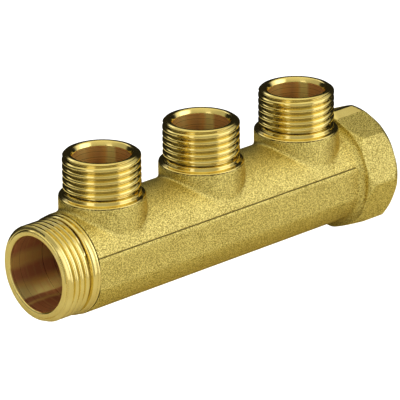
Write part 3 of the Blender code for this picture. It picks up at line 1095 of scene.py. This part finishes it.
def build_seals(rubber):
    """The round seals on the spigots, placed and made as thick as their CAD nodes."""
    for number, name in enumerate(OUTLET_SEALS):
        low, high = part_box(name)
        mesh = seal_mesh(name, OUTLET_SPIGOT_RADIUS, high.z - low.z)
        piece = add_piece("outlet_seal_%d" % (number + 1), mesh, [name], [rubber])
        piece.location = (low + high) / 2
        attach(piece, "root")
    low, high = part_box("inlet_o_ring")
    mesh = seal_mesh("inlet_o_ring", INLET_SPIGOT_RADIUS, high.x - low.x)
    piece = add_piece("inlet_seal", mesh, ["inlet_o_ring"], [rubber])
    lie_along(piece, (low + high) / 2, (-1, 0, 0))
    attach(piece, "root")


# ---------------------------------------------------------------- studio world

def direction(azimuth, elevation):
    """Unit vector by two angles in degrees; azimuth 0 is -Y and 90 is +X."""
    a, e = math.radians(azimuth), math.radians(elevation)
    return Vector((math.sin(a) * math.cos(e), -math.cos(a) * math.cos(e), math.sin(e)))


# Azimuth, elevation, half width and half height (as tangents), softness, strength
SOFT_BOXES = [
    (30.0, 8.0, 0.40, 0.95, 0.25, 0.56),
    (-76.0, 4.0, 0.20, 0.80, 0.25, 0.62),
    (44.0, 30.0, 0.60, 0.35, 0.40, 0.47),
    (169.0, 38.0, 0.30, 0.12, 0.40, 0.60),
]
# Azimuth, cosines where it starts and is full, heights where its top starts and ends, its level
DARK_CARDS = [
    (-150.0, 0.45, 0.70, 0.02, 0.24, 0.10),
    (137.0, 0.25, 0.50, 0.38, 0.58, 0.03),
    (137.0, 0.69, 0.76, 0.66, 0.80, 0.03),
]
CARD_FOOT = (-0.75, -0.55)  # heights where the cards start and are full
WORLD_LEVEL = 0.46
WORLD_BELOW = 0.12  # added to the level towards the ground and towards the ceiling
WORLD_ABOVE = 0.32
BELOW_SPAN = (-0.4, -0.7)
ABOVE_SPAN = (0.55, 0.9)
AHEAD_LIMIT = 0.02  # least cosine of the angle to a soft box at which it is drawn
ROOM_COLOUR = (1.0, 0.95, 0.74, 1.0)
BOX_COLOUR = (0.99, 0.99, 1.10, 1.0)


def soft_box(nodes, aim, azimuth, elevation, half_width, half_height, softness, strength):
    """Light level of a rectangle with soft edges, seen in the direction of aim."""
    centre = direction(azimuth, elevation)
    right = direction(azimuth + 90, 0)
    up = centre.cross(right)
    if up.z < 0:
        up = -up
    towards = nodes.dot(aim, centre)
    ahead = nodes.math('MAXIMUM', towards, AHEAD_LIMIT)
    level = strength
    for side, half in ((right, half_width), (up, half_height)):
        off = nodes.math('ABSOLUTE', nodes.math('DIVIDE', nodes.dot(aim, side), ahead))
        inside = nodes.remap(off, half * (1 - softness), half * (1 + softness), 1.0, 0.0, True)
        level = nodes.math('MULTIPLY', inside, level)
    facing = nodes.math('GREATER_THAN', towards, AHEAD_LIMIT)
    return nodes.math('MULTIPLY', level, facing)


def room_level(nodes, aim):
    """Light level of the plain room: a little brighter below and above, with the dark cards in it."""
    height = nodes.split(aim)["Z"]
    below = nodes.remap(height, *BELOW_SPAN, 0.0, WORLD_BELOW, True)
    above = nodes.remap(height, *ABOVE_SPAN, 0.0, WORLD_ABOVE, True)
    level = nodes.math('ADD', nodes.math('ADD', below, above), WORLD_LEVEL)
    foot = nodes.remap(height, *CARD_FOOT, 0.0, 1.0, True)
    for azimuth, start, full, low, high, dark in DARK_CARDS:
        band = nodes.math('MULTIPLY', foot, nodes.remap(height, low, high, 1.0, 0.0, True))
        side = nodes.remap(nodes.dot(aim, direction(azimuth, 0)), start, full, 0.0, 1.0, True)
        card = nodes.math('MULTIPLY', band, side)
        light = nodes.math('MULTIPLY', level, nodes.math('SUBTRACT', 1.0, card))
        level = nodes.math('ADD', light, nodes.math('MULTIPLY', card, dark))
    return level


def build_world():
    """Studio made of light levels alone: a warm room and whiter soft boxes."""
    world = bpy.data.worlds.new("studio")
    bpy.context.scene.world = world
    world.use_nodes = True
    world.node_tree.nodes.clear()
    nodes = Nodes(world.node_tree)
    aim = nodes.add("ShaderNodeTexCoord").outputs["Generated"]
    level = room_level(nodes, aim)
    shine = 0.0
    for box in SOFT_BOXES:
        shine = nodes.math('ADD', shine, soft_box(nodes, aim, *box))
    both = nodes.add("ShaderNodeAddShader")
    for number, (colour, strength) in enumerate(((ROOM_COLOUR, level), (BOX_COLOUR, shine))):
        shade = nodes.add("ShaderNodeBackground")
        shade.inputs[0].default_value = colour
        nodes.link(strength, shade.inputs[1])
        nodes.link(shade.outputs[0], both.inputs[number])
    output = nodes.add("ShaderNodeOutputWorld")
    nodes.link(both.outputs[0], output.inputs[0])


# ---------------------------------------------------------------- floor, sheet and camera

FLOOR_RADIUS = 3.0
FLOOR_THICKNESS = 2 * MM
FLOOR_SEGMENTS = 96
FLOOR_GLOW = 1.05
SHEET_HALF_LENGTH = 135 * MM
SHEET_HALF_WIDTH = 95 * MM
SHEET_MIDDLE = (-20 * MM, 12 * MM)
SHEET_DEPTH = 0.2 * MM  # under the lowest point of the bar
SHEET_COLOUR = (0.92, 0.90, 0.82, 1.0)
CAMERA_AIM = Vector((-0.648 * MM, 0, 22.066 * MM))
CAMERA_AZIMUTH = -43.149
CAMERA_ELEVATION = 21.266
CAMERA_ROLL = -0.547
CAMERA_DISTANCE = 1005.382 * MM
CAMERA_LENS = 333.67
CAMERA_SENSOR = 36.0
CAMERA_CLIP = (0.05, 20.0)
VIEW_GAMMA = 0.80
VIEW_EXPOSURE = 0.30


def mesh_of(name, bm):
    mesh = bpy.data.meshes.new(name)
    bm.to_mesh(mesh)
    bm.free()
    return mesh


def build_floor():
    """Plain white floor under the bar, a thin disc that only the camera sees."""
    bm = bmesh.new()
    bmesh.ops.create_cone(
        bm,
        cap_ends=True,
        segments=FLOOR_SEGMENTS,
        radius1=FLOOR_RADIUS,
        radius2=FLOOR_RADIUS,
        depth=FLOOR_THICKNESS,
    )
    floor = add_object("floor", mesh_of("floor", bm))
    floor.location.z = CAD_LOW.z - FLOOR_THICKNESS / 2
    material, nodes, glow = start_material("floor_white", "ShaderNodeEmission")
    glow.inputs["Strength"].default_value = FLOOR_GLOW
    floor.data.materials.append(material)
    floor.visible_glossy = False
    floor.visible_diffuse = False
    floor.visible_shadow = False
    floor.visible_transmission = False


def build_sheet():
    """White oval sheet that the bar lies on; it is seen only in the reflections."""
    bm = bmesh.new()
    bmesh.ops.create_circle(bm, cap_ends=True, segments=FLOOR_SEGMENTS, radius=1.0)
    bmesh.ops.scale(bm, vec=(SHEET_HALF_LENGTH, SHEET_HALF_WIDTH, 1), verts=bm.verts)
    sheet = add_object("sheet", mesh_of("sheet", bm))
    sheet.location = (*SHEET_MIDDLE, CAD_LOW.z - SHEET_DEPTH)
    material, nodes, paper = start_material("sheet_white", "ShaderNodeBsdfDiffuse")
    paper.inputs["Color"].default_value = SHEET_COLOUR
    sheet.data.materials.append(material)
    sheet.visible_camera = False


def build_camera():
    """Long lens that looks at the bar from the inlet's side and a little from above."""
    data = bpy.data.cameras.new("camera")
    data.sensor_width = CAMERA_SENSOR
    data.lens = CAMERA_LENS
    data.clip_start, data.clip_end = CAMERA_CLIP
    data.dof.use_dof = False
    camera = add_object("camera", data)
    back = direction(CAMERA_AZIMUTH, CAMERA_ELEVATION)
    camera.rotation_mode = 'QUATERNION'
    camera.location = CAMERA_AIM + back * CAMERA_DISTANCE
    roll = Quaternion((0, 0, 1), math.radians(CAMERA_ROLL))
    camera.rotation_quaternion = (-back).to_track_quat('-Z', 'Y') @ roll
    bpy.context.scene.camera = camera


def set_view():
    view = bpy.context.scene.view_settings
    view.view_transform = 'Standard'
    view.gamma = VIEW_GAMMA
    view.exposure = VIEW_EXPOSURE


def main():
    brass = turned_brass("turned_brass", "Z", OUTLET_GROOVE_SHADE)
    bore = bored_brass("bored_brass", "X", "Z", BODY_BORE_SHADE)
    faced = turned_brass("faced_brass", "X", INLET_GROOVE_SHADE)
    build_body([blasted_brass(), brass, bore, faced])
    build_outlets(brass, port_brass())
    inlet_brass = turned_brass("inlet_brass", "Z", INLET_GROOVE_SHADE)
    build_inlet(inlet_brass, bored_brass("inlet_bore_brass", "Z", "X", 0.0))
    build_seals(seal_rubber())
    build_floor()
    build_sheet()
    build_world()
    build_camera()
    set_view()


main()
